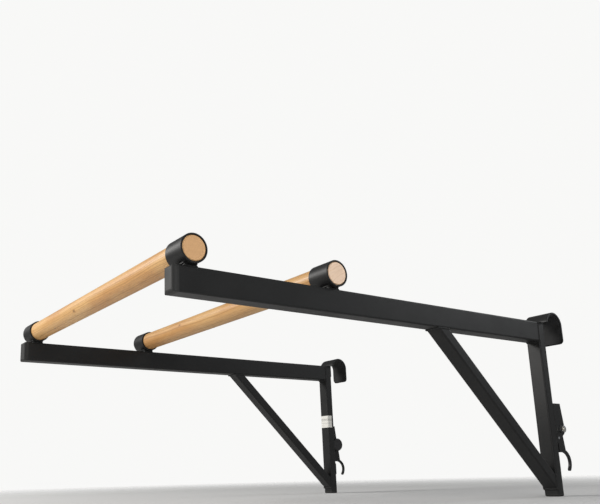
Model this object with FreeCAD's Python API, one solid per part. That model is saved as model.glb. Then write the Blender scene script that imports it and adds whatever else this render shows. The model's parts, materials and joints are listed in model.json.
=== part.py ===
"""Pull-up bar that hooks onto the rungs of a wooden wall ladder.

Two welded steel brackets stand mirrored about X = 0. Each is an arm, a post and a diagonal brace, with a
J-shaped hook on top of the post that hangs over one rung, and a swinging catch behind the post that grips
the rung two places lower. Two round beech bars lie in short steel sleeves on top of the arms.

Frame, in millimetres: X runs along the bars, the wall is towards +Y, Z is up. The origin is on the axis of
the rung that the hooks hang from, midway between the brackets.
"""
import FreeCAD, Part
import math
import os

V = FreeCAD.Vector

# ---------------------------------------------------------------- wall ladder that the brackets fit
RUNG_DIAMETER = 38.0
RUNG_PITCH = 138.0
RUNG_CLEARANCE = 0.5

# ---------------------------------------------------------------- overall sizes
BRACKET_SPACING = 658.0       # between the two bracket planes
ARM_REACH = 842.0             # from the post's front face to the arm's tip
POST_DROP = 305.0             # from the arm's underside to the foot
FRONT_BAR_SETBACK = 30.0      # from the arm's tip to the front bar's axis
BAR_SPACING = 265.0           # between the two bars' axes

# ---------------------------------------------------------------- steel tubes
TUBE_WIDTH = 30.0             # along X, the same for arm, post and brace
TUBE_WALL = 2.0
TUBE_CORNER = 3.0
ARM_HEIGHT = 40.0
POST_DEPTH = 20.0
BRACE_DEPTH = 20.0
BRACE_RUN = 304.0             # from the post's front face to the brace's toe under the arm
BRACE_DROP = 291.0            # from the arm's underside to the brace's heel on the post

# ---------------------------------------------------------------- tube ends
CAP_LENGTH = 10.0
CAP_SIDE_RADIUS = 8.0
CAP_EDGE_RADIUS = 5.0
FOOT_LENGTH = 5.0
FOOT_EDGE_RADIUS = 4.0
SPIGOT_LENGTH = 14.0
SPIGOT_GAP = 0.2
TOP_PLATE = 3.0

# ---------------------------------------------------------------- bars and sleeves
BAR_DIAMETER = 38.0
BAR_CHAMFER = 1.2
BAR_GAP = 0.5
SLEEVE_WALL = 2.5
SLEEVE_LENGTH = 46.0
SLEEVE_CHAMFER = 0.5
SADDLE_HEIGHT = 2.0           # between the arm's top and the sleeve's lowest line
SADDLE_DEPTH = 20.0
SADDLE_WIDTH = 26.0
SCREW_RADIUS = 2.0
SCREW_DEPTH = 20.0
SCREW_HEAD_RADIUS = 4.0
SCREW_HEAD_HEIGHT = 2.4
SCREW_RECESS = 1.2
SCREW_HOLE_GAP = 0.3
PILOT_GAP = 0.05

# ---------------------------------------------------------------- top hook
STRAP_THICKNESS = 4.0
STRAP_WIDTH = 50.0
STRAP_EDGE = 0.8              # rounding of the strap's long edges
LINER_THICKNESS = 3.0
LINER_WIDTH = 46.0
POST_TOP_RISE = 5.0           # post top above the rung's axis
TAIL_DROP = 37.0              # hook tail below the rung's axis
TAIL_CORNER = 8.0
LINER_SETBACK = 1.5           # liner stops short of the strap's tail end
PAD_THICKNESS = 3.0
PAD_WIDTH = 24.0
PAD_HEIGHT = 28.0
PAD_TOP_SETBACK = 1.0

# ---------------------------------------------------------------- rung catch behind the post
CATCH_RUNG = 2                # rungs below the one the hook hangs from
PIVOT_RISE = 65.0             # pivot above the caught rung's axis
PIVOT_SETBACK = 18.0          # pivot behind the post's back face
LUG_THICKNESS = 5.0
LUG_OUTBOARD = 9.0            # lug's inboard face outboard of the bracket plane
LUG_BOSS_RADIUS = 13.0
LUG_HEAD_DEPTH = 24.0         # lug's upper end, behind the post's back face
LUG_HEAD_GAP = 3.0            # under the rung above
LUG_FOOT_DROP = 29.0          # lug's lower corner below the pivot
LUG_BEVEL = 0.5               # around the outline of both faces
CATCH_THICKNESS = 4.0
CATCH_GAP = 0.3               # side play between lug and catch
CATCH_BOSS_RADIUS = 9.5
JAW_CLEARANCE = 1.0
JAW_DEPTH = 6.0
JAW_FRONT = 10.0              # jaw's front end, in front of the caught rung's axis
JAW_NECK_ANGLE = 25.0         # angles about the caught rung, from +Z towards +Y
JAW_TIP_ANGLE = 125.0
JAW_TIP_ROUND = 9.0
BUSH_RADIUS = 5.5
BUSH_BORE = 4.2
PIVOT_GAP = 0.05
STUD_RADIUS = 3.95
THREAD_GAP = 0.05
NUT_ACROSS_FLATS = 13.0
NUT_HEIGHT = 6.5
NUT_CHAMFER = 0.8
WASHER_RADIUS = 10.0
WASHER_THICKNESS = 1.6
FACE_GAP = 0.1
STOP_RADIUS = 2.5
STOP_DROP = 17.0              # stop pin below the pivot
STOP_GAP = 0.3
KNOB_RADIUS = 17.0
KNOB_LENGTH = 11.0
KNOB_HUB_RADIUS = 9.0
KNOB_HUB_LENGTH = 2.0
KNOB_EDGE = 3.0
KNOB_FLUTES = 10
KNOB_FLUTE_RADIUS = 3.5
KNOB_FLUTE_DEPTH = 1.4
STUD_GRIP = 7.5               # stud length inside the knob
STUD_TAIL = 1.5               # stud past the nut
STUD_CHAMFER = 0.7

# ---------------------------------------------------------------- label on the left post
LABEL_THICKNESS = 0.25
LABEL_HEIGHT = 32.0
LABEL_TOP_DROP = 98.0         # below the arm's underside
LABEL_FRONT = 28.0            # part on the front face
LABEL_SIDE = 13.0             # part on the inboard face

# ---------------------------------------------------------------- places worked out from the sizes
SEAT_RADIUS = RUNG_DIAMETER / 2 + RUNG_CLEARANCE
STRAP_INNER = SEAT_RADIUS + LINER_THICKNESS
STRAP_OUTER = STRAP_INNER + STRAP_THICKNESS
POST_BACK = -STRAP_INNER
POST_FRONT = POST_BACK - POST_DEPTH
ARM_TOP = POST_TOP_RISE
ARM_UNDER = ARM_TOP - ARM_HEIGHT
ARM_TIP = POST_FRONT - ARM_REACH
FOOT = ARM_UNDER - POST_DROP
SLEEVE_BORE = BAR_DIAMETER / 2 + BAR_GAP
SLEEVE_RADIUS = SLEEVE_BORE + SLEEVE_WALL
BAR_AXIS_HEIGHT = ARM_TOP + SADDLE_HEIGHT + SLEEVE_RADIUS
FRONT_BAR = ARM_TIP + FRONT_BAR_SETBACK
BAR_PLACES = {"front": FRONT_BAR, "rear": FRONT_BAR + BAR_SPACING}
SIDES = {"left": -1.0, "right": 1.0}

CAUGHT_RUNG = -CATCH_RUNG * RUNG_PITCH
PIVOT_Y = POST_BACK + PIVOT_SETBACK
PIVOT_Z = CAUGHT_RUNG + PIVOT_RISE
JAW_INNER = RUNG_DIAMETER / 2 + JAW_CLEARANCE
JAW_OUTER = JAW_INNER + JAW_DEPTH

# Layers of the catch, measured from the bracket plane, positive inboard.
LUG_LAYER = (-LUG_OUTBOARD - LUG_THICKNESS, -LUG_OUTBOARD)
CATCH_LAYER = (LUG_LAYER[1] + CATCH_GAP, LUG_LAYER[1] + CATCH_GAP + CATCH_THICKNESS)
WASHER_LAYER = (CATCH_LAYER[1] + FACE_GAP, CATCH_LAYER[1] + FACE_GAP + WASHER_THICKNESS)
KNOB_LAYER = (WASHER_LAYER[1] + FACE_GAP, WASHER_LAYER[1] + FACE_GAP + KNOB_LENGTH)
NUT_LAYER = (LUG_LAYER[0] - NUT_HEIGHT, LUG_LAYER[0])


# ================================================================ shape helpers
def block(x_range, y_range, z_range):
    """Box between the two ends given on each axis."""
    size = [high - low for low, high in (x_range, y_range, z_range)]
    return Part.makeBox(*size, V(x_range[0], y_range[0], z_range[0]))


def rod(radius, start, end):
    """Round bar between two points."""
    line = end - start
    return Part.makeCylinder(radius, line.Length, start, line)


def rounded_prism(width, depth, corner, length):
    """Rectangular bar along +Z from the origin, its four long edges rounded."""
    bar = Part.makeBox(width, depth, length, V(-width / 2, -depth / 2, 0))
    long_edges = [edge for edge in bar.Edges if abs(edge.tangentAt(edge.FirstParameter).z) > 0.99]
    return bar.makeFillet(corner, long_edges)


def hollow_prism(width, depth, length):
    """Rectangular steel tube along +Z from the origin."""
    outer = rounded_prism(width, depth, TUBE_CORNER, length)
    bore_corner = max(TUBE_CORNER - TUBE_WALL, 0.5)
    bore = rounded_prism(width - 2 * TUBE_WALL, depth - 2 * TUBE_WALL, bore_corner, length)
    return outer.cut(bore)


def spigot(width, depth, length):
    """Plug that fills a tube's bore, along +Z from the origin."""
    inset = 2 * (TUBE_WALL + SPIGOT_GAP)
    return rounded_prism(width - inset, depth - inset, max(TUBE_CORNER - TUBE_WALL, 0.5), length)


def aim(shape, position, angle):
    """Turn a shape about X, then move it: an angle of -90 takes its +Z to +Y."""
    placed = shape.copy()
    placed.Placement = FreeCAD.Placement(position, FreeCAD.Rotation(V(1, 0, 0), angle))
    return placed


def plate(edges, x_range):
    """Plate in the Y-Z plane, from outline edges drawn at X = 0."""
    face = Part.Face(Part.Wire(edges))
    return face.extrude(V(x_range[1] - x_range[0], 0, 0)).translated(V(x_range[0], 0, 0))


def runs_along_x(edge):
    return abs(edge.tangentAt(edge.FirstParameter).x) > 0.99


def line(start, end):
    return Part.makeLine(V(0, *start), V(0, *end))


def arc(start, middle, end):
    return Part.Arc(V(0, *start), V(0, *middle), V(0, *end)).toShape()


def on_circle(centre, radius, angle):
    """Point on a circle in the Y-Z plane, its angle in degrees from +Z towards +Y."""
    turn = math.radians(angle)
    return (centre[0] + radius * math.sin(turn), centre[1] + radius * math.cos(turn))


def tangent_angle(point, centre, radius, side):
    """Angle on the circle where the line from a point touches it, on the side given as +1 or -1."""
    along, up = point[0] - centre[0], point[1] - centre[1]
    spread = math.degrees(math.acos(radius / math.hypot(along, up)))
    return math.degrees(math.atan2(along, up)) + side * spread


def layer(side, low_high):
    """X range of a layer whose ends are measured inboard from a bracket's plane."""
    ends = [SIDES[side] * (BRACKET_SPACING / 2 - inboard) for inboard in low_high]
    return (min(ends), max(ends))


def layer_rod(side, low_high, radius, y, z):
    """Round piece along X through a range of layers."""
    low, high = layer(side, low_high)
    return rod(radius, V(low, y, z), V(high, y, z))


def centred(side, width):
    """X range of a piece centred on a bracket's plane."""
    return layer(side, (-width / 2, width / 2))


# ================================================================ frame tubes and their ends
def arm_tube(side):
    tube = hollow_prism(TUBE_WIDTH, ARM_HEIGHT, ARM_REACH - CAP_LENGTH)
    middle = (ARM_TOP + ARM_UNDER) / 2
    return aim(tube, V(SIDES[side] * BRACKET_SPACING / 2, ARM_TIP + CAP_LENGTH, middle), -90)


def arm_front_cap(side):
    """Plastic cap with rounded sides and edges, on a spigot in the arm."""
    flange = rounded_prism(TUBE_WIDTH, ARM_HEIGHT, TUBE_CORNER, CAP_LENGTH)
    side_rounding = Part.makeBox(TUBE_WIDTH, ARM_HEIGHT, CAP_LENGTH + CAP_SIDE_RADIUS,
                                 V(-TUBE_WIDTH / 2, -ARM_HEIGHT / 2, 0))
    for rounding, direction in ((CAP_SIDE_RADIUS, V(0, 1, 0)), (CAP_EDGE_RADIUS, V(1, 0, 0))):
        front = [edge for edge in side_rounding.Edges if rounded_front_edge(edge, direction)]
        flange = flange.common(side_rounding.makeFillet(rounding, front))
    plug = spigot(TUBE_WIDTH, ARM_HEIGHT, SPIGOT_LENGTH).translated(V(0, 0, CAP_LENGTH))
    middle = (ARM_TOP + ARM_UNDER) / 2
    return aim(flange.fuse(plug).removeSplitter(), V(SIDES[side] * BRACKET_SPACING / 2, ARM_TIP, middle), -90)


def rounded_front_edge(edge, direction):
    """True for an edge at Z = 0 that runs along the direction."""
    along = edge.tangentAt(edge.FirstParameter)
    return abs(along.dot(direction)) > 0.99 and abs(edge.CenterOfMass.z) < 1e-6


def post_tube(side):
    tube = hollow_prism(TUBE_WIDTH, POST_DEPTH, ARM_TOP - TOP_PLATE - FOOT - FOOT_LENGTH)
    middle = (POST_FRONT + POST_BACK) / 2
    return tube.translated(V(SIDES[side] * BRACKET_SPACING / 2, middle, FOOT + FOOT_LENGTH))


def post_top_plate(side):
    lid = rounded_prism(TUBE_WIDTH, POST_DEPTH, TUBE_CORNER, TOP_PLATE)
    middle = (POST_FRONT + POST_BACK) / 2
    return lid.translated(V(SIDES[side] * BRACKET_SPACING / 2, middle, ARM_TOP - TOP_PLATE))


def post_foot_plug(side):
    """Plastic plug with a rounded sole, in the lower end of the post."""
    flange = rounded_prism(TUBE_WIDTH, POST_DEPTH, TUBE_CORNER, FOOT_LENGTH)
    sole = Part.makeBox(TUBE_WIDTH, POST_DEPTH, FOOT_LENGTH, V(-TUBE_WIDTH / 2, -POST_DEPTH / 2, 0))
    sole_edges = [edge for edge in sole.Edges if abs(edge.CenterOfMass.z) < 1e-6]
    flange = flange.common(sole.makeFillet(FOOT_EDGE_RADIUS, sole_edges))
    plug = spigot(TUBE_WIDTH, POST_DEPTH, SPIGOT_LENGTH).translated(V(0, 0, FOOT_LENGTH))
    middle = (POST_FRONT + POST_BACK) / 2
    foot = flange.fuse(plug).removeSplitter()
    return foot.translated(V(SIDES[side] * BRACKET_SPACING / 2, middle, FOOT))


def brace_tube(side):
    """Diagonal tube, mitred against the arm's underside and the post's front face."""
    slope = math.atan2(BRACE_DROP, BRACE_RUN)
    overrun = ARM_HEIGHT
    length = math.hypot(BRACE_RUN, BRACE_DROP) + 2 * overrun
    start_y = POST_FRONT - BRACE_RUN - overrun * math.cos(slope) + BRACE_DEPTH / 2 * math.sin(slope)
    start_z = ARM_UNDER + overrun * math.sin(slope) + BRACE_DEPTH / 2 * math.cos(slope)
    x_middle = SIDES[side] * BRACKET_SPACING / 2
    tube = aim(hollow_prism(TUBE_WIDTH, BRACE_DEPTH, length), V(x_middle, start_y, start_z),
               -90 - math.degrees(slope))
    corner = block(centred(side, TUBE_WIDTH), (POST_FRONT - 2 * BRACE_RUN, POST_FRONT),
                   (ARM_UNDER - 2 * BRACE_DROP, ARM_UNDER))
    return tube.common(corner)


# ================================================================ top hook
def hook_outline(outer, inner, tail):
    """J outline from the post's top, over the rung and down behind it to the tail's depth."""
    front_outer = -math.sqrt(outer ** 2 - POST_TOP_RISE ** 2)
    front_inner = -math.sqrt(inner ** 2 - POST_TOP_RISE ** 2)
    return [
        line((front_inner, POST_TOP_RISE), (front_outer, POST_TOP_RISE)),
        arc((front_outer, POST_TOP_RISE), (0, outer), (outer, 0)),
        line((outer, 0), (outer, -tail)),
        line((outer, -tail), (inner, -tail)),
        line((inner, -tail), (inner, 0)),
        arc((inner, 0), (0, inner), (front_inner, POST_TOP_RISE)),
    ]


def round_tail(shape, tail):
    """Round the two lower side corners of a hook's tail."""
    low_edges = [edge for edge in shape.Edges if abs(edge.CenterOfMass.z + tail) < 1e-6]
    corners = [edge for edge in low_edges if abs(edge.tangentAt(edge.FirstParameter).y) > 0.99]
    return shape.makeFillet(TAIL_CORNER, corners)


def outlines_strap(edge):
    """True for the edges around the strap's outer and inner faces, but not at its welded end."""
    box = edge.BoundBox
    level = box.ZLength < 1e-3
    through = level and box.XLength < 1e-3
    bend_line = level and box.YLength < 1e-3 and abs(box.ZMax) < 1e-3
    welded_end = level and abs(box.ZMax - POST_TOP_RISE) < 1e-3
    return not (through or bend_line or welded_end)


def hook_strap(side):
    strap = plate(hook_outline(STRAP_OUTER, STRAP_INNER, TAIL_DROP), centred(side, STRAP_WIDTH))
    strap = round_tail(strap, TAIL_DROP)
    return strap.makeFillet(STRAP_EDGE, [edge for edge in strap.Edges if outlines_strap(edge)])


def hook_liner(side):
    """Rubber lining bonded inside the hook."""
    tail = TAIL_DROP - LINER_SETBACK
    liner = plate(hook_outline(STRAP_INNER, SEAT_RADIUS, tail), centred(side, LINER_WIDTH))
    return round_tail(liner, tail)


def rung_pads(side):
    """Rubber pads on the post's back face, one at the hooked rung and one at the caught rung."""
    top = POST_TOP_RISE - PAD_TOP_SETBACK
    pads = []
    for pad_top in (top, CAUGHT_RUNG + PAD_HEIGHT / 2):
        pads.append(block(centred(side, PAD_WIDTH), (POST_BACK, POST_BACK + PAD_THICKNESS),
                          (pad_top - PAD_HEIGHT, pad_top)))
    return Part.makeCompound(pads)


# ================================================================ bars, sleeves and screws
def sleeve(side, place):
    """Short steel tube that holds one end of a bar, with a screw hole on its wall side."""
    y = BAR_PLACES[place]
    low, high = centred(side, SLEEVE_LENGTH)
    shell = rod(SLEEVE_RADIUS, V(low, y, BAR_AXIS_HEIGHT), V(high, y, BAR_AXIS_HEIGHT))
    rims = [edge for edge in shell.Edges if edge.Closed]
    shell = shell.makeChamfer(SLEEVE_CHAMFER, rims)
    shell = shell.cut(rod(SLEEVE_BORE, V(low, y, BAR_AXIS_HEIGHT), V(high, y, BAR_AXIS_HEIGHT)))
    return shell.cut(screw_shank(side, place, SCREW_RADIUS + SCREW_HOLE_GAP))


def screw_shank(side, place, radius):
    """Shank of a bar screw, from the sleeve's outside into the bar."""
    x = SIDES[side] * BRACKET_SPACING / 2
    outside = BAR_PLACES[place] + SLEEVE_RADIUS
    return rod(radius, V(x, outside - SCREW_DEPTH, BAR_AXIS_HEIGHT), V(x, outside, BAR_AXIS_HEIGHT))


def sleeve_saddles(side):
    """Welded blocks that carry the two sleeves clear of the arm's top."""
    saddles = []
    for place, y in BAR_PLACES.items():
        low, high = centred(side, SLEEVE_LENGTH)
        saddle = block(centred(side, SADDLE_WIDTH), (y - SADDLE_DEPTH / 2, y + SADDLE_DEPTH / 2),
                       (ARM_TOP, BAR_AXIS_HEIGHT))
        seat = rod(SLEEVE_RADIUS, V(low, y, BAR_AXIS_HEIGHT), V(high, y, BAR_AXIS_HEIGHT))
        saddles.append(saddle.cut(seat))
    return Part.makeCompound(saddles)


def wooden_bar(place):
    """Beech bar, flush with the outer ends of its two sleeves."""
    y = BAR_PLACES[place]
    half = (BRACKET_SPACING + SLEEVE_LENGTH) / 2
    bar = rod(BAR_DIAMETER / 2, V(-half, y, BAR_AXIS_HEIGHT), V(half, y, BAR_AXIS_HEIGHT))
    bar = bar.makeChamfer(BAR_CHAMFER, [edge for edge in bar.Edges if edge.Closed])
    for side in SIDES:
        bar = bar.cut(screw_shank(side, place, SCREW_RADIUS + PILOT_GAP))
    return bar


def bar_screws():
    """Four pan-head wood screws with a cross recess, one through each sleeve."""
    screws = []
    for side in SIDES:
        for place, y in BAR_PLACES.items():
            x = SIDES[side] * BRACKET_SPACING / 2
            seat = V(x, y + SLEEVE_RADIUS, BAR_AXIS_HEIGHT)
            head = rod(SCREW_HEAD_RADIUS, seat, seat + V(0, SCREW_HEAD_HEIGHT, 0))
            crown = [edge for edge in head.Edges if edge.Closed and edge.CenterOfMass.y > seat.y + 1]
            head = head.makeFillet(SCREW_HEAD_HEIGHT / 2, crown)
            screw = head.fuse(screw_shank(side, place, SCREW_RADIUS))
            top = seat.y + SCREW_HEAD_HEIGHT
            arm_long, arm_wide = SCREW_HEAD_RADIUS * 0.55, SCREW_HEAD_RADIUS * 0.12
            for half_x, half_z in ((arm_long, arm_wide), (arm_wide, arm_long)):
                screw = screw.cut(block((x - half_x, x + half_x), (top - SCREW_RECESS, top),
                                        (seat.z - half_z, seat.z + half_z)))
            screws.append(screw.removeSplitter())
    return Part.makeCompound(screws)


# ================================================================ rung catch
def catch_lug(side):
    """Plate welded behind the post: its upper end stops the bracket from lifting off the rungs."""
    pivot = (PIVOT_Y, PIVOT_Z)
    head_top = -(CATCH_RUNG - 1) * RUNG_PITCH - RUNG_DIAMETER / 2 - LUG_HEAD_GAP
    head_front = (POST_BACK, head_top)
    head_back = (POST_BACK + LUG_HEAD_DEPTH, head_top)
    foot = (POST_BACK, PIVOT_Z - LUG_FOOT_DROP)
    leave_back = tangent_angle(head_back, pivot, LUG_BOSS_RADIUS, 1)
    leave_foot = tangent_angle(foot, pivot, LUG_BOSS_RADIUS, -1) % 360
    upper = on_circle(pivot, LUG_BOSS_RADIUS, leave_back)
    lower = on_circle(pivot, LUG_BOSS_RADIUS, leave_foot)
    middle = on_circle(pivot, LUG_BOSS_RADIUS, (leave_back + leave_foot) / 2)
    outline = [line(head_front, head_back), line(head_back, upper), arc(upper, middle, lower),
               line(lower, foot), line(foot, head_front)]
    lug = plate(outline, layer(side, LUG_LAYER))
    lug = lug.makeChamfer(LUG_BEVEL, [edge for edge in lug.Edges if not runs_along_x(edge)])
    lug = lug.cut(layer_rod(side, LUG_LAYER, BUSH_RADIUS, PIVOT_Y, PIVOT_Z))
    return lug.cut(layer_rod(side, LUG_LAYER, STOP_RADIUS, stop_pin_y(), PIVOT_Z - STOP_DROP))


def catch_front_edge():
    """The straight front edge of the catch, from its boss down to the jaw above the rung."""
    jaw_front = (-JAW_FRONT, CAUGHT_RUNG + JAW_INNER)
    boss_angle = tangent_angle(jaw_front, (PIVOT_Y, PIVOT_Z), CATCH_BOSS_RADIUS, 1)
    return on_circle((PIVOT_Y, PIVOT_Z), CATCH_BOSS_RADIUS, boss_angle), jaw_front, boss_angle


def stop_pin_y():
    """Y of the stop pin, which the catch's front edge rests against."""
    boss_point, jaw_front, _ = catch_front_edge()
    share = (boss_point[1] - (PIVOT_Z - STOP_DROP)) / (boss_point[1] - jaw_front[1])
    edge_y = boss_point[0] + share * (jaw_front[0] - boss_point[0])
    lean = math.atan2(jaw_front[0] - boss_point[0], boss_point[1] - jaw_front[1])
    return edge_y - (STOP_RADIUS + STOP_GAP) / math.cos(lean)


def rung_catch(side):
    """Swinging plate with a round jaw that reaches over and behind the caught rung."""
    pivot = (PIVOT_Y, PIVOT_Z)
    rung = (0, CAUGHT_RUNG)
    boss_front, jaw_front, front_angle = catch_front_edge()
    neck = on_circle(rung, JAW_OUTER, JAW_NECK_ANGLE)
    back_angle = tangent_angle(neck, pivot, CATCH_BOSS_RADIUS, -1)
    boss_back = on_circle(pivot, CATCH_BOSS_RADIUS, back_angle)
    boss_top = on_circle(pivot, CATCH_BOSS_RADIUS, (front_angle % 360 - 360 + back_angle) / 2)
    tip_outer = on_circle(rung, JAW_OUTER, JAW_TIP_ANGLE)
    tip_inner = on_circle(rung, JAW_INNER, JAW_TIP_ANGLE)
    tip = on_circle(rung, (JAW_OUTER + JAW_INNER) / 2, JAW_TIP_ANGLE + JAW_TIP_ROUND)
    outline = [
        arc(boss_front, boss_top, boss_back),
        line(boss_back, neck),
        arc(neck, on_circle(rung, JAW_OUTER, (JAW_NECK_ANGLE + JAW_TIP_ANGLE) / 2), tip_outer),
        arc(tip_outer, tip, tip_inner),
        arc(tip_inner, on_circle(rung, JAW_INNER, JAW_TIP_ANGLE / 2), on_circle(rung, JAW_INNER, 0)),
        line(on_circle(rung, JAW_INNER, 0), jaw_front),
        line(jaw_front, boss_front),
    ]
    catch = plate(outline, layer(side, CATCH_LAYER))
    return catch.cut(layer_rod(side, CATCH_LAYER, BUSH_RADIUS + PIVOT_GAP, PIVOT_Y, PIVOT_Z))


def catch_bush(side):
    """Steel bush pressed into the lug, on which the catch swings."""
    reach = (LUG_LAYER[0], CATCH_LAYER[1] - FACE_GAP)
    bush = layer_rod(side, reach, BUSH_RADIUS, PIVOT_Y, PIVOT_Z)
    return bush.cut(layer_rod(side, reach, BUSH_BORE, PIVOT_Y, PIVOT_Z))


def catch_stop(side):
    """Pin in the lug that the catch rests against when it is closed."""
    return layer_rod(side, (LUG_LAYER[0], CATCH_LAYER[1]), STOP_RADIUS, stop_pin_y(), PIVOT_Z - STOP_DROP)


def outboard_rim(shape):
    """The round edge furthest out along X."""
    return max((edge for edge in shape.Edges if edge.Closed), key=lambda edge: abs(edge.CenterOfMass.x))


def catch_nut(side):
    """Hexagon nut welded to the outboard face of the lug."""
    low, high = layer(side, NUT_LAYER)
    corner = NUT_ACROSS_FLATS / math.sqrt(3)
    points = [V(0, PIVOT_Y + corner * math.sin(turn), PIVOT_Z + corner * math.cos(turn))
              for turn in (math.radians(60 * step) for step in range(7))]
    nut = Part.Face(Part.makePolygon(points)).extrude(V(high - low, 0, 0)).translated(V(low, 0, 0))
    crown = layer_rod(side, NUT_LAYER, corner, PIVOT_Y, PIVOT_Z)
    nut = nut.common(crown.makeChamfer(NUT_CHAMFER, [outboard_rim(crown)]))
    return nut.cut(layer_rod(side, NUT_LAYER, STUD_RADIUS + THREAD_GAP, PIVOT_Y, PIVOT_Z))


def thrust_washer(side):
    washer = layer_rod(side, WASHER_LAYER, WASHER_RADIUS, PIVOT_Y, PIVOT_Z)
    return washer.cut(layer_rod(side, WASHER_LAYER, STUD_RADIUS + THREAD_GAP, PIVOT_Y, PIVOT_Z))


def knob_stud(side):
    """Threaded stud moulded into the knob, through the catch and the lug into the nut."""
    reach = (NUT_LAYER[0] - STUD_TAIL, KNOB_LAYER[0] + STUD_GRIP)
    stud = layer_rod(side, reach, STUD_RADIUS, PIVOT_Y, PIVOT_Z)
    return stud.makeChamfer(STUD_CHAMFER, [outboard_rim(stud)])


def hand_knob(side):
    """Fluted plastic knob on the inboard side of the catch."""
    profile = [V(0, 0, 0), V(KNOB_HUB_RADIUS, 0, 0), V(KNOB_HUB_RADIUS, 0, KNOB_HUB_LENGTH),
               V(KNOB_RADIUS, 0, KNOB_HUB_LENGTH), V(KNOB_RADIUS, 0, KNOB_LENGTH),
               V(0, 0, KNOB_LENGTH), V(0, 0, 0)]
    body = Part.Face(Part.makePolygon(profile)).revolve(V(0, 0, 0), V(0, 0, 1), 360)
    rims = [edge for edge in body.Edges if edge.Closed and edge.Length > 2 * math.pi * (KNOB_RADIUS - 0.1)]
    outer_rims = [rim for rim in rims if rim.CenterOfMass.z > KNOB_LENGTH - 0.1]
    body = body.makeFillet(KNOB_EDGE, outer_rims)
    for flute in range(KNOB_FLUTES):
        turn = 2 * math.pi * flute / KNOB_FLUTES
        reach = KNOB_RADIUS + KNOB_FLUTE_RADIUS - KNOB_FLUTE_DEPTH
        centre = V(reach * math.cos(turn), reach * math.sin(turn), 0)
        body = body.cut(rod(KNOB_FLUTE_RADIUS, centre, centre + V(0, 0, KNOB_LENGTH)))
    body = body.cut(rod(STUD_RADIUS, V(0, 0, 0), V(0, 0, STUD_GRIP)))
    inboard = -SIDES[side]
    body.Placement = FreeCAD.Placement(V(SIDES[side] * BRACKET_SPACING / 2 + inboard * KNOB_LAYER[0],
                                         PIVOT_Y, PIVOT_Z),
                                       FreeCAD.Rotation(V(0, 0, 1), V(inboard, 0, 0)))
    return body


# ================================================================ label
def post_label(side):
    """Thin blank label that wraps the post's front face and its inboard face."""
    bottom = ARM_UNDER - LABEL_TOP_DROP - LABEL_HEIGHT
    middle = V(SIDES[side] * BRACKET_SPACING / 2, (POST_FRONT + POST_BACK) / 2, bottom)
    outer = rounded_prism(TUBE_WIDTH + 2 * LABEL_THICKNESS, POST_DEPTH + 2 * LABEL_THICKNESS,
                          TUBE_CORNER + LABEL_THICKNESS, LABEL_HEIGHT)
    skin = outer.cut(rounded_prism(TUBE_WIDTH, POST_DEPTH, TUBE_CORNER, LABEL_HEIGHT)).translated(middle)
    window = block(layer(side, (TUBE_WIDTH / 2 - LABEL_FRONT, TUBE_WIDTH)),
                   (POST_FRONT - POST_DEPTH, POST_FRONT + LABEL_SIDE), (FOOT, ARM_UNDER))
    return skin.common(window)


# ================================================================ write one file per piece
def build():
    pieces = {}
    for side in SIDES:
        pieces[f"arm_tube_{side}"] = arm_tube(side)
        pieces[f"arm_front_cap_{side}"] = arm_front_cap(side)
        pieces[f"post_tube_{side}"] = post_tube(side)
        pieces[f"post_top_plate_{side}"] = post_top_plate(side)
        pieces[f"post_foot_plug_{side}"] = post_foot_plug(side)
        pieces[f"brace_tube_{side}"] = brace_tube(side)
        pieces[f"hook_strap_{side}"] = hook_strap(side)
        pieces[f"hook_liner_{side}"] = hook_liner(side)
        pieces[f"rung_pads_{side}"] = rung_pads(side)
        for place in BAR_PLACES:
            pieces[f"{place}_sleeve_{side}"] = sleeve(side, place)
        pieces[f"sleeve_saddles_{side}"] = sleeve_saddles(side)
        pieces[f"catch_lug_{side}"] = catch_lug(side)
        pieces[f"catch_bush_{side}"] = catch_bush(side)
        pieces[f"catch_stop_{side}"] = catch_stop(side)
        pieces[f"catch_nut_{side}"] = catch_nut(side)
        pieces[f"rung_catch_{side}"] = rung_catch(side)
        pieces[f"thrust_washer_{side}"] = thrust_washer(side)
        pieces[f"hand_knob_{side}"] = hand_knob(side)
        pieces[f"knob_stud_{side}"] = knob_stud(side)
    for place in BAR_PLACES:
        pieces[f"{place}_bar"] = wooden_bar(place)
    pieces["bar_screws"] = bar_screws()
    pieces["post_label"] = post_label("left")
    return pieces


os.makedirs("parts", exist_ok=True)
for name, shape in build().items():
    shape.exportStep(f"parts/{name}.step")
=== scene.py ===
"""Looks of the wall-ladder pull-up bar: powder-coated steel, beech bars, rubber, plastic and weld beads."""
import json
import math
import random

import bpy
from mathutils import Matrix, Vector


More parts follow.
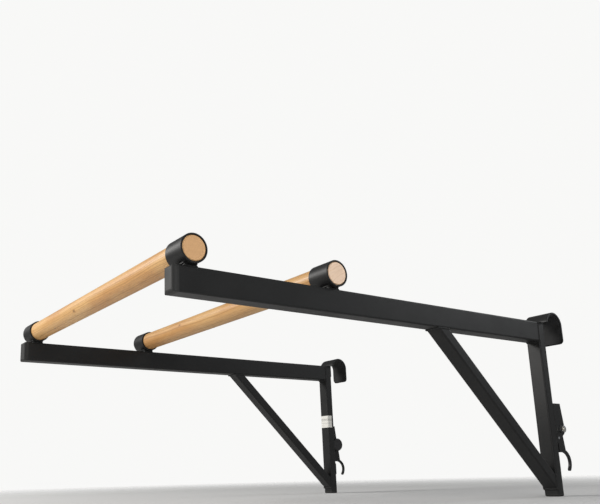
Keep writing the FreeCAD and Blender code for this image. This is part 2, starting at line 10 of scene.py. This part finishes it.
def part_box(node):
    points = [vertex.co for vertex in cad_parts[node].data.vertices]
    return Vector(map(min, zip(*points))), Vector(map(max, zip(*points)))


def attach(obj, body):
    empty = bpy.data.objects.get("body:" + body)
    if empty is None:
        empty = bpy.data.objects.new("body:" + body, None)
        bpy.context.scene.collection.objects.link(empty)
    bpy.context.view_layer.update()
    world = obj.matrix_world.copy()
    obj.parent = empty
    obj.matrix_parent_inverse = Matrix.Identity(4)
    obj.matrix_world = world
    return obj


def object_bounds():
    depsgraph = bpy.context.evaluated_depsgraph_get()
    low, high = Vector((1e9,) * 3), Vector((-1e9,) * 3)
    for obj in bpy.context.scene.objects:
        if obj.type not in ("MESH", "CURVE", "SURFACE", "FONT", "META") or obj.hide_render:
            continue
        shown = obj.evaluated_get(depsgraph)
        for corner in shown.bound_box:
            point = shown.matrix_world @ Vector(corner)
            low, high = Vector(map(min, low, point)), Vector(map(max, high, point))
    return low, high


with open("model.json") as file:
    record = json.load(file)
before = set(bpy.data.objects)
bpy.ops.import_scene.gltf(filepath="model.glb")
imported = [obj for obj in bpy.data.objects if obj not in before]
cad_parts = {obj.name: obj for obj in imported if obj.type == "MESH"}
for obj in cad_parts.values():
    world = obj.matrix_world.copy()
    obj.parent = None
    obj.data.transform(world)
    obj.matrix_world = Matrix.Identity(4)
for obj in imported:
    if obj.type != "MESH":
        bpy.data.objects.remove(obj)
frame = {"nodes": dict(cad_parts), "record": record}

cad_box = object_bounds()
cad_middle = (cad_box[0] + cad_box[1]) / 2
MM = 0.001
SIDES = ("left", "right")

# ---------------------------------------------------------------- camera
CAMERA_PLACE = Vector((1.155, -1.328, -0.278))
CAMERA_YAW = 55.7             # degrees to the left of +Y
CAMERA_PITCH = 12.9
CAMERA_ROLL = -1.5
CAMERA_LENS = 41.9
CAMERA_SHIFT = 0.1            # the framing is off centre, up and to the left

# ---------------------------------------------------------------- stage
BACKDROP_TONE = (0.94, 0.94, 0.93)
FLOOR_TONE = (0.68, 0.68, 0.675)
FLOOR_SIZE = 12.0
FLOOR_FADE = (0.9, 3.0)       # distances from the middle between which the floor melts into the backdrop
WORLD_LIGHT = 0.19

LIGHTS = (                    # name, place from the object's middle, size, watts, tone
    ("key", (-1.6, -2.5, 1.5), (1.6, 0.8), 100, (1.0, 0.985, 0.96)),
    ("top", (0.2, -0.3, 2.6), (2.6, 2.6), 8, (1.0, 1.0, 1.0)),
    ("right", (1.7, -0.8, 0.5), (1.1, 1.1), 11.5, (1.0, 1.0, 1.0)),
    ("back", (1.4, 2.6, 1.4), (2.0, 1.4), 20, (0.96, 0.98, 1.0)),
)

# ---------------------------------------------------------------- weld beads
BEAD_STEP = 0.5 * MM
BEAD_SIDES = 10
RIPPLE_PITCH = 1.9 * MM
RIPPLE_DEPTH = 0.16           # share of a bead's radius
TUBE_BEAD = 2.0 * MM          # the beads' radii
HOOK_BEAD = 2.0 * MM
SADDLE_BEAD = 1.7 * MM
SLEEVE_BEAD = 1.5 * MM
LUG_BEAD = 1.6 * MM
NUT_BEAD = 1.2 * MM
CORNER_INSET = 0.7 * MM       # from a tube's side to the path of the bead around its end
JOINT_SINK = 0.6 * MM         # how deep the arm's bead lies in the post's face
BRACE_STAND_OFF = 0.4 * MM    # how far the braces' beads stand off the faces they join
SADDLE_WIDTH = 26 * MM
SADDLE_DEPTH = 20 * MM


# ================================================================ shader graphs
class Graph:
    """Builds one material's nodes around a Principled shader. Places are in metres, so a noise scale of 420
    gives features of about 2.4 mm."""

    def __init__(self, name):
        self.material = bpy.data.materials.new(name)
        self.material.use_nodes = True
        self.tree = self.material.node_tree
        self.tree.nodes.clear()
        output = self.tree.nodes.new("ShaderNodeOutputMaterial")
        self.shader = self.tree.nodes.new("ShaderNodeBsdfPrincipled")
        self.tree.links.new(self.shader.outputs["BSDF"], output.inputs["Surface"])

    def node(self, kind, **settings):
        made = self.tree.nodes.new("ShaderNode" + kind)
        for name, value in settings.items():
            setattr(made, name, value)
        return made

    def feed(self, socket, value):
        """Link a socket to a node's output, or set its constant."""
        if isinstance(value, bpy.types.NodeSocket):
            self.tree.links.new(value, socket)
        else:
            socket.default_value = value

    def set(self, **values):
        for name, value in values.items():
            self.feed(self.shader.inputs[name.replace("_", " ")], value)

    def place(self):
        return self.node("TexCoord").outputs["Object"]

    def facing(self):
        return self.node("TexCoord").outputs["Normal"]

    def axes(self, vector):
        parts = self.node("SeparateXYZ")
        self.feed(parts.inputs[0], vector)
        return parts.outputs

    def vector(self, x, y, z):
        made = self.node("CombineXYZ")
        for socket, value in zip(made.inputs, (x, y, z)):
            self.feed(socket, value)
        return made.outputs[0]

    def mapped(self, vector, scale=(1, 1, 1), shift=(0, 0, 0)):
        made = self.node("Mapping")
        self.feed(made.inputs["Vector"], vector)
        made.inputs["Scale"].default_value = scale
        made.inputs["Location"].default_value = shift
        return made.outputs[0]

    def noise(self, vector, scale, detail=2.0, roughness=0.5):
        made = self.node("TexNoise")
        self.feed(made.inputs["Vector"], vector)
        made.inputs["Scale"].default_value = scale
        made.inputs["Detail"].default_value = detail
        made.inputs["Roughness"].default_value = roughness
        return made.outputs["Fac"]

    def bands(self, distance, scale, detail=1.0):
        """One-dimensional noise along a distance."""
        made = self.node("TexNoise", noise_dimensions="1D")
        self.feed(made.inputs["W"], distance)
        made.inputs["Scale"].default_value = scale
        made.inputs["Detail"].default_value = detail
        return made.outputs["Fac"]

    def cells(self, vector, scale):
        made = self.node("TexVoronoi")
        self.feed(made.inputs["Vector"], vector)
        made.inputs["Scale"].default_value = scale
        return made.outputs["Distance"]

    def calc(self, operation, first, second=0.0, third=0.0):
        made = self.node("Math", operation=operation)
        for socket, value in zip(made.inputs, (first, second, third)):
            self.feed(socket, value)
        return made.outputs[0]

    def length(self, vector):
        made = self.node("VectorMath", operation="LENGTH")
        self.feed(made.inputs[0], vector)
        return made.outputs["Value"]

    def fit(self, value, low, high, to_low=0.0, to_high=1.0):
        """Map a range to another, with smooth ends."""
        made = self.node("MapRange", interpolation_type="SMOOTHSTEP")
        for socket, given in zip(made.inputs, (value, low, high, to_low, to_high)):
            self.feed(socket, given)
        return made.outputs[0]

    def ramp(self, value, *stops):
        made = self.node("ValToRGB")
        self.feed(made.inputs[0], value)
        elements = made.color_ramp.elements
        while len(elements) < len(stops):
            elements.new(0.5)
        for element, (position, colour) in zip(elements, stops):
            element.position = position
            element.color = (*colour, 1.0)
        return made.outputs["Color"]

    def blend(self, share, first, second):
        """Mix two colours, by the share of the second."""
        made = self.node("Mix", data_type="RGBA")
        self.feed(made.inputs["Factor"], share)
        for socket, value in ((made.inputs[6], first), (made.inputs[7], second)):
            self.feed(socket, (*value, 1.0) if isinstance(value, tuple) else value)
        return made.outputs[2]

    def bump(self, height, strength, depth):
        made = self.node("Bump")
        made.inputs["Strength"].default_value = strength
        made.inputs["Distance"].default_value = depth
        self.feed(made.inputs["Height"], height)
        self.feed(self.shader.inputs["Normal"], made.outputs[0])


# ================================================================ materials
def powder_coat(name, tone, grit=1.0):
    """Satin powder coat: orange peel, fine grit, and a little change of gloss from place to place."""
    g = Graph(name)
    place = g.place()
    peel = g.noise(place, 420, 2.0, 0.45)
    grain = g.noise(place, 1900, 3.0, 0.6)
    drift = g.noise(place, 14, 4.0, 0.6)
    dust = g.fit(g.noise(place, 3200, 1.0), 0.68, 0.80)
    dark = tuple(0.78 * c for c in tone)
    light = tuple(1.30 * c for c in tone)
    colour = g.blend(g.fit(grain, 0.3, 0.7), dark, light)
    colour = g.blend(g.calc("MULTIPLY", dust, 0.10), colour, (0.16, 0.155, 0.15))
    g.set(Base_Color=colour,
          Roughness=g.calc("ADD", g.fit(drift, 0.3, 0.7, 0.36, 0.46), g.fit(grain, 0.3, 0.7, 0.0, 0.06)),
          Specular_IOR_Level=0.28)
    height = g.calc("ADD", g.calc("MULTIPLY", peel, 0.75), g.calc("MULTIPLY", grain, 0.25))
    g.bump(height, 0.42 * grit, 0.22 * MM)
    return g.material


def moulded_plastic(name, tone, roughness, gloss, texture):
    """Plastic with a spark-eroded grain."""
    g = Graph(name)
    place = g.place()
    grain = g.noise(place, texture, 3.0, 0.65)
    pits = g.cells(place, texture * 1.6)
    drift = g.noise(place, 22, 3.0)
    colour = g.blend(g.fit(grain, 0.25, 0.75), tuple(0.8 * c for c in tone), tuple(1.25 * c for c in tone))
    g.set(Base_Color=colour,
          Roughness=g.fit(drift, 0.3, 0.7, roughness - 0.05, roughness + 0.05),
          Specular_IOR_Level=gloss)
    g.bump(g.calc("ADD", grain, g.calc("MULTIPLY", pits, 0.4)), 0.4, 0.14 * MM)
    return g.material


def black_rubber():
    g = Graph("rubber")
    place = g.place()
    grain = g.noise(place, 1500, 3.0, 0.7)
    bloom = g.noise(place, 45, 4.0, 0.65)
    colour = g.blend(g.fit(bloom, 0.35, 0.75), (0.010, 0.010, 0.010), (0.024, 0.024, 0.025))
    g.set(Base_Color=colour, Roughness=g.fit(bloom, 0.3, 0.7, 0.72, 0.86), Specular_IOR_Level=0.35)
    g.bump(grain, 0.5, 0.12 * MM)
    return g.material


def zinc():
    """Zinc-plated steel with faint turning marks and a bluish to straw tint."""
    g = Graph("zinc")
    place = g.place()
    tint = g.noise(place, 90, 3.0)
    marks = g.noise(g.mapped(place, scale=(9000, 500, 500)), 1.0, 2.0)
    spangle = g.cells(place, 900)
    bluish, plain, straw = (0.50, 0.53, 0.58), (0.60, 0.61, 0.62), (0.64, 0.61, 0.52)
    colour = g.ramp(tint, (0.30, bluish), (0.50, plain), (0.72, straw))
    colour = g.blend(g.fit(spangle, 0.0, 0.8, 0.0, 0.25), colour, (0.42, 0.43, 0.45))
    g.set(Base_Color=colour, Metallic=1.0, Roughness=g.fit(marks, 0.3, 0.7, 0.26, 0.42))
    g.bump(marks, 0.12, 0.05 * MM)
    return g.material


def label_film(node):
    """White vinyl film with a few plain grey rules and no lettering."""
    low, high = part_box(node)
    g = Graph("label_film")
    place = g.place()
    height = g.calc("DIVIDE", g.calc("SUBTRACT", g.axes(place)[2], low.z), high.z - low.z)
    rules = 0.0
    for centre, half in ((0.70, 0.030), (0.60, 0.018), (0.36, 0.012)):
        rule = g.fit(g.calc("ABSOLUTE", g.calc("SUBTRACT", height, centre)), half, half * 1.5, 1.0, 0.0)
        rules = g.calc("MAXIMUM", rule, rules)
    fibre = g.noise(place, 2400, 3.0, 0.6)
    paper = g.blend(g.fit(fibre, 0.3, 0.7), (0.72, 0.71, 0.66), (0.80, 0.79, 0.74))
    g.set(Base_Color=g.blend(g.calc("MULTIPLY", rules, 0.55), paper, (0.22, 0.22, 0.21)),
          Roughness=g.fit(fibre, 0.3, 0.7, 0.38, 0.48), Specular_IOR_Level=0.5)
    g.bump(fibre, 0.15, 0.05 * MM)
    return g.material


def beech(name, node, pith, tone_and_painted_shade, end_tone_and_painted_light, knots):
    """Clear-lacquered beech. The growth rings are cylinders about a pith line that runs beside the bar, so
    the same pattern gives long grain on the side and arcs on the ends. Each knot is metres along the bar,
    degrees up from its front, and a radius."""
    low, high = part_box(node)
    axis = (low + high) / 2
    g = Graph(name)
    place = g.mapped(g.place(), shift=(0.0, -axis.y, -axis.z))
    x, y, z = g.axes(place)
    wander = g.noise(g.mapped(place, scale=(5.0, 20.0, 20.0)), 1.0, 2.0)
    ripple = g.noise(g.mapped(place, scale=(38.0, 160.0, 160.0)), 1.0, 2.0)
    sway = g.calc("ADD", g.calc("MULTIPLY", wander, 13 * MM), g.calc("MULTIPLY", ripple, 1.2 * MM))
    from_pith = g.vector(0.0, g.calc("ADD", y, pith[0]), g.calc("ADD", z, pith[1]))
    rings = g.calc("ADD", g.length(from_pith), sway)
    growth = g.bands(rings, 520, 2.0)
    late = g.fit(growth, 0.50, 0.66)
    fibre = g.noise(g.mapped(place, scale=(45.0, 1500.0, 1500.0)), 1.0, 3.0, 0.6)
    flecks = g.noise(g.mapped(place, scale=(330.0, 2300.0, 2300.0)), 1.0, 1.0)
    patch = g.noise(g.mapped(place, scale=(7.0, 26.0, 26.0), shift=(tone_and_painted_shade * 9.0, 0, 0)), 1.0, 3.0)

    # The side tones are scaled per bar. This is partly the wood's own tone and partly painted shade, which
    # makes the rear bar's sides darker and the front bar's lighter.
    pale = tuple(tone_and_painted_shade * tone for tone in (0.720, 0.440, 0.182))
    rosy = tuple(tone_and_painted_shade * tone for tone in (0.610, 0.325, 0.120))
    deep = (0.300, 0.135, 0.045)
    side = g.blend(g.fit(patch, 0.36, 0.66), pale, rosy)
    side = g.blend(g.calc("MULTIPLY", late, 0.42), side, deep)
    side = g.blend(g.fit(fibre, 0.42, 0.72, 0.0, 0.34), side, deep)
    side = g.blend(g.fit(flecks, 0.64, 0.74, 0.0, 0.62), side, (0.230, 0.105, 0.042))

    pores = g.fit(g.cells(place, 2100), 0.0, 0.32, 0.42, 0.0)
    # The end tone is partly the end grain's own colour and partly painted light, raised most on the rear
    # bar's end.
    end = g.blend(g.calc("MULTIPLY", late, 0.30), end_tone_and_painted_light, (0.62, 0.37, 0.18))
    end = g.blend(pores, end, (0.42, 0.24, 0.11))
    end_on = g.fit(g.calc("ABSOLUTE", g.axes(g.facing())[0]), 0.5, 0.9)
    colour = g.blend(end_on, side, end)

    for along, turn, size in knots:
        angle = math.radians(turn)
        radius = (high.z - low.z) / 2
        spot = Vector((along, -radius * math.cos(angle), radius * math.sin(angle)))
        offset = g.mapped(place, scale=(0.55, 1.0, 1.0), shift=(-0.55 * spot.x, -spot.y, -spot.z))
        uneven = g.calc("MULTIPLY", g.calc("SUBTRACT", ripple, 0.5), size * 0.5)
        reach = g.calc("ADD", g.length(offset), uneven)
        colour = g.blend(g.fit(reach, size * 0.5, size * 2.6, 0.45, 0.0), colour, (0.36, 0.17, 0.06))
        colour = g.blend(g.fit(reach, size * 0.2, size, 0.92, 0.0), colour, (0.085, 0.036, 0.014))

    g.set(Base_Color=colour,
          Roughness=g.calc("ADD", g.fit(fibre, 0.3, 0.7, 0.38, 0.48), g.calc("MULTIPLY", end_on, 0.16)),
          Coat_Weight=0.10, Coat_Roughness=0.28, Specular_IOR_Level=0.34)
    g.bump(g.calc("ADD", g.calc("MULTIPLY", fibre, 0.6), g.calc("MULTIPLY", growth, 0.4)), 0.16, 0.14 * MM)
    return g.material


def paint_cad():
    """Give every CAD node its material, by the record's slot."""
    steel = powder_coat("powder_coat", (0.0108, 0.0110, 0.0110))
    looks = {
        "frame_powder_coat": steel,
        "catch_powder_coat": powder_coat("plate_powder_coat", (0.0105, 0.0105, 0.0108), 1.2),
        # The caps' tone is partly the plastic's own grey and partly painted light. It is set well above the
        # powder coat's so that the caps' fronts come out brighter.
        "cap_plastic": moulded_plastic("cap_plastic", (0.0260, 0.0260, 0.0252), 0.62, 0.26, 1100),
        "knob_plastic": moulded_plastic("knob_plastic", (0.012, 0.012, 0.013), 0.42, 0.45, 1500),
        "liner_rubber": black_rubber(),
        "zinc_steel": zinc(),
        "label_film": label_film("post_label"),
    }
    # The two bars are lit and shaded copies of one beech. The side factor carries painted shade on the rear
    # bar's sides, and the end tone carries painted light on its end, on top of the wood's own tone.
    bars = {
        "front_bar": beech("front_beech", "front_bar", (44 * MM, -30 * MM), 1.07, (0.70, 0.41, 0.195),
                           ((-0.061, -25, 2.3 * MM), (-0.185, -63, 1.2 * MM), (0.21, 140, 1.8 * MM))),
        "rear_bar": beech("rear_beech", "rear_bar", (-36 * MM, 52 * MM), 0.88, (0.95, 0.71, 0.53),
                          ((-0.132, 12, 2.0 * MM), (0.118, 205, 1.6 * MM))),
    }
    slots = {part["node"]: part["material_slot"] for part in frame["record"]["subparts"]}
    for node, piece in frame["nodes"].items():
        material = bars[node] if node in bars else looks[slots[node]]
        for index in range(len(piece.material_slots)):
            piece.material_slots[index].material = material
    return steel


# ================================================================ weld beads
def walk(corners, closed):
    """Evenly spaced points along straight runs, their corners softened."""
    ends = corners + corners[:1] if closed else corners
    points = []
    for start, end in zip(ends, ends[1:]):
        steps = max(2, round((end - start).length / BEAD_STEP))
        points += [start.lerp(end, step / steps) for step in range(steps)]
    if not closed:
        points.append(ends[-1])
    for _ in range(4):
        smooth = list(points)
        for i in range(0 if closed else 1, len(points) - (0 if closed else 1)):
            smooth[i] = (points[i - 1] + 2 * points[i] + points[(i + 1) % len(points)]) / 4
        points = smooth
    return points


def bead(points, radius, closed, draw):
    """Vertices and faces of a rippled bead along the points."""
    count = len(points)
    phase = draw.random()
    across = None
    vertices, faces = [], []
    for i, point in enumerate(points):
        before = points[i - 1] if closed or i else point
        after = points[(i + 1) % count] if closed or i < count - 1 else point
        tangent = (after - before).normalized()
        across = tangent.orthogonal() if across is None else across - tangent * across.dot(tangent)
        across.normalize()
        over = tangent.cross(across)
        beat = (i * BEAD_STEP / RIPPLE_PITCH + phase) % 1.0
        swell = 1.0 - RIPPLE_DEPTH * (1.0 - math.sqrt(max(0.0, 1.0 - (2 * beat - 1) ** 2)))
        if not closed:
            swell *= min(1.0, 0.35 + 0.65 * min(i, count - 1 - i) * BEAD_STEP / radius)
        jitter = Vector([draw.uniform(-0.05, 0.05) * radius for _ in range(3)])
        for side in range(BEAD_SIDES):
            turn = 2 * math.pi * side / BEAD_SIDES
            lag = tangent * radius * 0.30 * math.cos(2 * turn)
            spoke = across * math.cos(turn) + over * math.sin(turn)
            vertices.append(point + jitter + lag + spoke * radius * swell)
    for i in range(count if closed else count - 1):
        a, b = i * BEAD_SIDES, ((i + 1) % count) * BEAD_SIDES
        for side in range(BEAD_SIDES):
            other = (side + 1) % BEAD_SIDES
            faces.append((a + side, a + other, b + other, b + side))
    if not closed:
        faces.append(tuple(reversed(range(BEAD_SIDES))))
        faces.append(tuple(range((count - 1) * BEAD_SIDES, count * BEAD_SIDES)))
    return vertices, faces


def rectangle(centre, half_a, half_b):
    """Four corners about a centre, from two half-side vectors."""
    return [centre + a * half_a + b * half_b for a, b in ((-1, -1), (1, -1), (1, 1), (-1, 1))]


def bead_paths(side):
    """Every weld of one bracket, as (corners, radius, closed)."""
    arm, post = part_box(f"arm_tube_{side}"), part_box(f"post_tube_{side}")
    brace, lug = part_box(f"brace_tube_{side}"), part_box(f"catch_lug_{side}")
    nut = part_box(f"catch_nut_{side}")
    middle = (arm[0].x + arm[1].x) / 2
    wide = Vector(((arm[1].x - arm[0].x) / 2 - CORNER_INSET, 0, 0))

    tall = Vector((0, 0, (arm[1].z - arm[0].z) / 2))
    arm_end = Vector((middle, post[0].y + JOINT_SINK, (arm[0].z + arm[1].z) / 2))
    paths = [(rectangle(arm_end, wide, tall), TUBE_BEAD, True)]

    run, drop = brace[1].y - brace[0].y, brace[1].z - brace[0].z
    depth = post[1].y - post[0].y
    slope = math.atan2(drop, run)
    toe = Vector((0, depth / math.sin(slope) / 2, 0))
    toe_start = Vector((middle, brace[0].y, arm[0].z - BRACE_STAND_OFF))
    paths.append((rectangle(toe_start + toe, wide, toe), TUBE_BEAD, True))
    heel = Vector((0, 0, depth / math.cos(slope) / 2))
    heel_start = Vector((middle, post[0].y - BRACE_STAND_OFF, brace[0].z))
    paths.append((rectangle(heel_start + heel, wide, heel), TUBE_BEAD, True))

    for place in ("front", "rear"):
        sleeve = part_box(f"{place}_sleeve_{side}")
        y, z = (sleeve[0].y + sleeve[1].y) / 2, (sleeve[0].z + sleeve[1].z) / 2
        radius = (sleeve[1].z - sleeve[0].z) / 2
        along, out = Vector((SADDLE_WIDTH / 2, 0, 0)), Vector((0, SADDLE_DEPTH / 2, 0))
        paths.append((rectangle(Vector((middle, y, arm[1].z)), along, out), SADDLE_BEAD, True))
        seam = z - math.sqrt(radius ** 2 - out.y ** 2)
        for front in (-1, 1):
            centre = Vector((middle, y + front * (out.y + 0.3 * MM), seam - 0.2 * MM))
            paths.append(([centre - along, centre + along], SLEEVE_BEAD, False))

    ends = (lug[0].z + 2 * MM, lug[1].z - 2 * MM)
    for face in (lug[0].x, lug[1].x):
        paths.append(([Vector((face, post[1].y + 0.2 * MM, end)) for end in ends], LUG_BEAD, False))

    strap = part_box(f"hook_strap_{side}")
    foot = Vector((middle, strap[0].y, arm[1].z + 0.3 * MM))
    reach = Vector((wide.x - 1.5 * MM, 0, 0))
    paths.append(([foot - reach, foot + reach], HOOK_BEAD, False))

    seat = nut[0].x if side == "right" else nut[1].x
    centre = Vector((seat, (nut[0].y + nut[1].y) / 2, (nut[0].z + nut[1].z) / 2))
    ring = (nut[1].y - nut[0].y) / 2 + 0.5 * MM
    turns = [math.radians(15 * step) for step in range(24)]
    around_nut = [centre + ring * Vector((0, math.cos(turn), math.sin(turn))) for turn in turns]
    paths.append((around_nut, NUT_BEAD, True))
    return paths


def weld_beads(side, material):
    draw = random.Random(side)
    vertices, faces = [], []
    for corners, radius, closed in bead_paths(side):
        more, skin = bead(walk(corners, closed), radius, closed, draw)
        faces += [tuple(i + len(vertices) for i in face) for face in skin]
        vertices += more
    mesh = bpy.data.meshes.new(f"weld_beads_{side}")
    mesh.from_pydata(vertices, [], faces)
    mesh.polygons.foreach_set("use_smooth", [True] * len(mesh.polygons))
    piece = bpy.data.objects.new(f"weld_beads_{side}", mesh)
    bpy.context.scene.collection.objects.link(piece)
    mesh.materials.append(material)
    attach(piece, "frame")


# ================================================================ camera, light and stage
def add_camera():
    data = bpy.data.cameras.new("camera")
    data.sensor_width = 36.0
    data.lens = CAMERA_LENS
    data.shift_x = data.shift_y = CAMERA_SHIFT
    camera = bpy.data.objects.new("camera", data)
    turns = ((CAMERA_YAW, "Z"), (90 + CAMERA_PITCH, "X"), (CAMERA_ROLL, "Z"))
    camera.matrix_world = Matrix.Translation(CAMERA_PLACE)
    for angle, axis in turns:
        camera.matrix_world = camera.matrix_world @ Matrix.Rotation(math.radians(angle), 4, axis)
    bpy.context.scene.collection.objects.link(camera)
    bpy.context.scene.camera = camera


def area_light(name, place, target, size, power, tone):
    data = bpy.data.lights.new(name, "AREA")
    data.shape = "RECTANGLE"
    data.size, data.size_y = size
    data.energy = power
    data.color = tone
    light = bpy.data.objects.new(name, data)
    light.location = place
    light.visible_camera = False
    light.rotation_mode = "QUATERNION"
    light.rotation_quaternion = (target - place).to_track_quat("-Z", "Y")
    bpy.context.scene.collection.objects.link(light)


def add_lights():
    for name, offset, size, power, tone in LIGHTS:
        area_light(name, cad_middle + Vector(offset), cad_middle, size, power, tone)


def add_world():
    """Soft even light, with a paler backdrop behind the object."""
    world = bpy.data.worlds.new("studio")
    world.use_nodes = True
    tree = world.node_tree
    tree.nodes.clear()
    output = tree.nodes.new("ShaderNodeOutputWorld")
    mix = tree.nodes.new("ShaderNodeMixShader")
    rays = tree.nodes.new("ShaderNodeLightPath")
    light, seen = (tree.nodes.new("ShaderNodeBackground") for _ in range(2))
    light.inputs["Color"].default_value = (1.0, 1.0, 1.0, 1.0)
    light.inputs["Strength"].default_value = WORLD_LIGHT
    seen.inputs["Color"].default_value = (*BACKDROP_TONE, 1.0)
    tree.links.new(rays.outputs["Is Camera Ray"], mix.inputs[0])
    tree.links.new(light.outputs[0], mix.inputs[1])
    tree.links.new(seen.outputs[0], mix.inputs[2])
    tree.links.new(mix.outputs[0], output.inputs["Surface"])
    bpy.context.scene.world = world


def add_floor():
    half = FLOOR_SIZE / 2
    height = cad_box[0].z
    mesh = bpy.data.meshes.new("floor")
    corners = rectangle(Vector((0, 0, height)), Vector((half, 0, 0)), Vector((0, half, 0)))
    mesh.from_pydata(corners, [], [(0, 1, 2, 3)])
    floor = bpy.data.objects.new("floor", mesh)
    g = Graph("floor")
    from_middle = g.mapped(g.place(), scale=(1, 1, 0), shift=(-cad_middle.x, -cad_middle.y, 0))
    spread = g.length(from_middle)
    g.set(Base_Color=(*FLOOR_TONE, 1.0), Roughness=0.8, Specular_IOR_Level=0.2,
          Alpha=g.fit(spread, *FLOOR_FADE, 1.0, 0.0))
    mesh.materials.append(g.material)
    bpy.context.scene.collection.objects.link(floor)


add_camera()
add_world()
add_lights()
add_floor()
coat = paint_cad()
for side in SIDES:
    weld_beads(side, coat)
bpy.context.scene.view_settings.view_transform = "Standard"
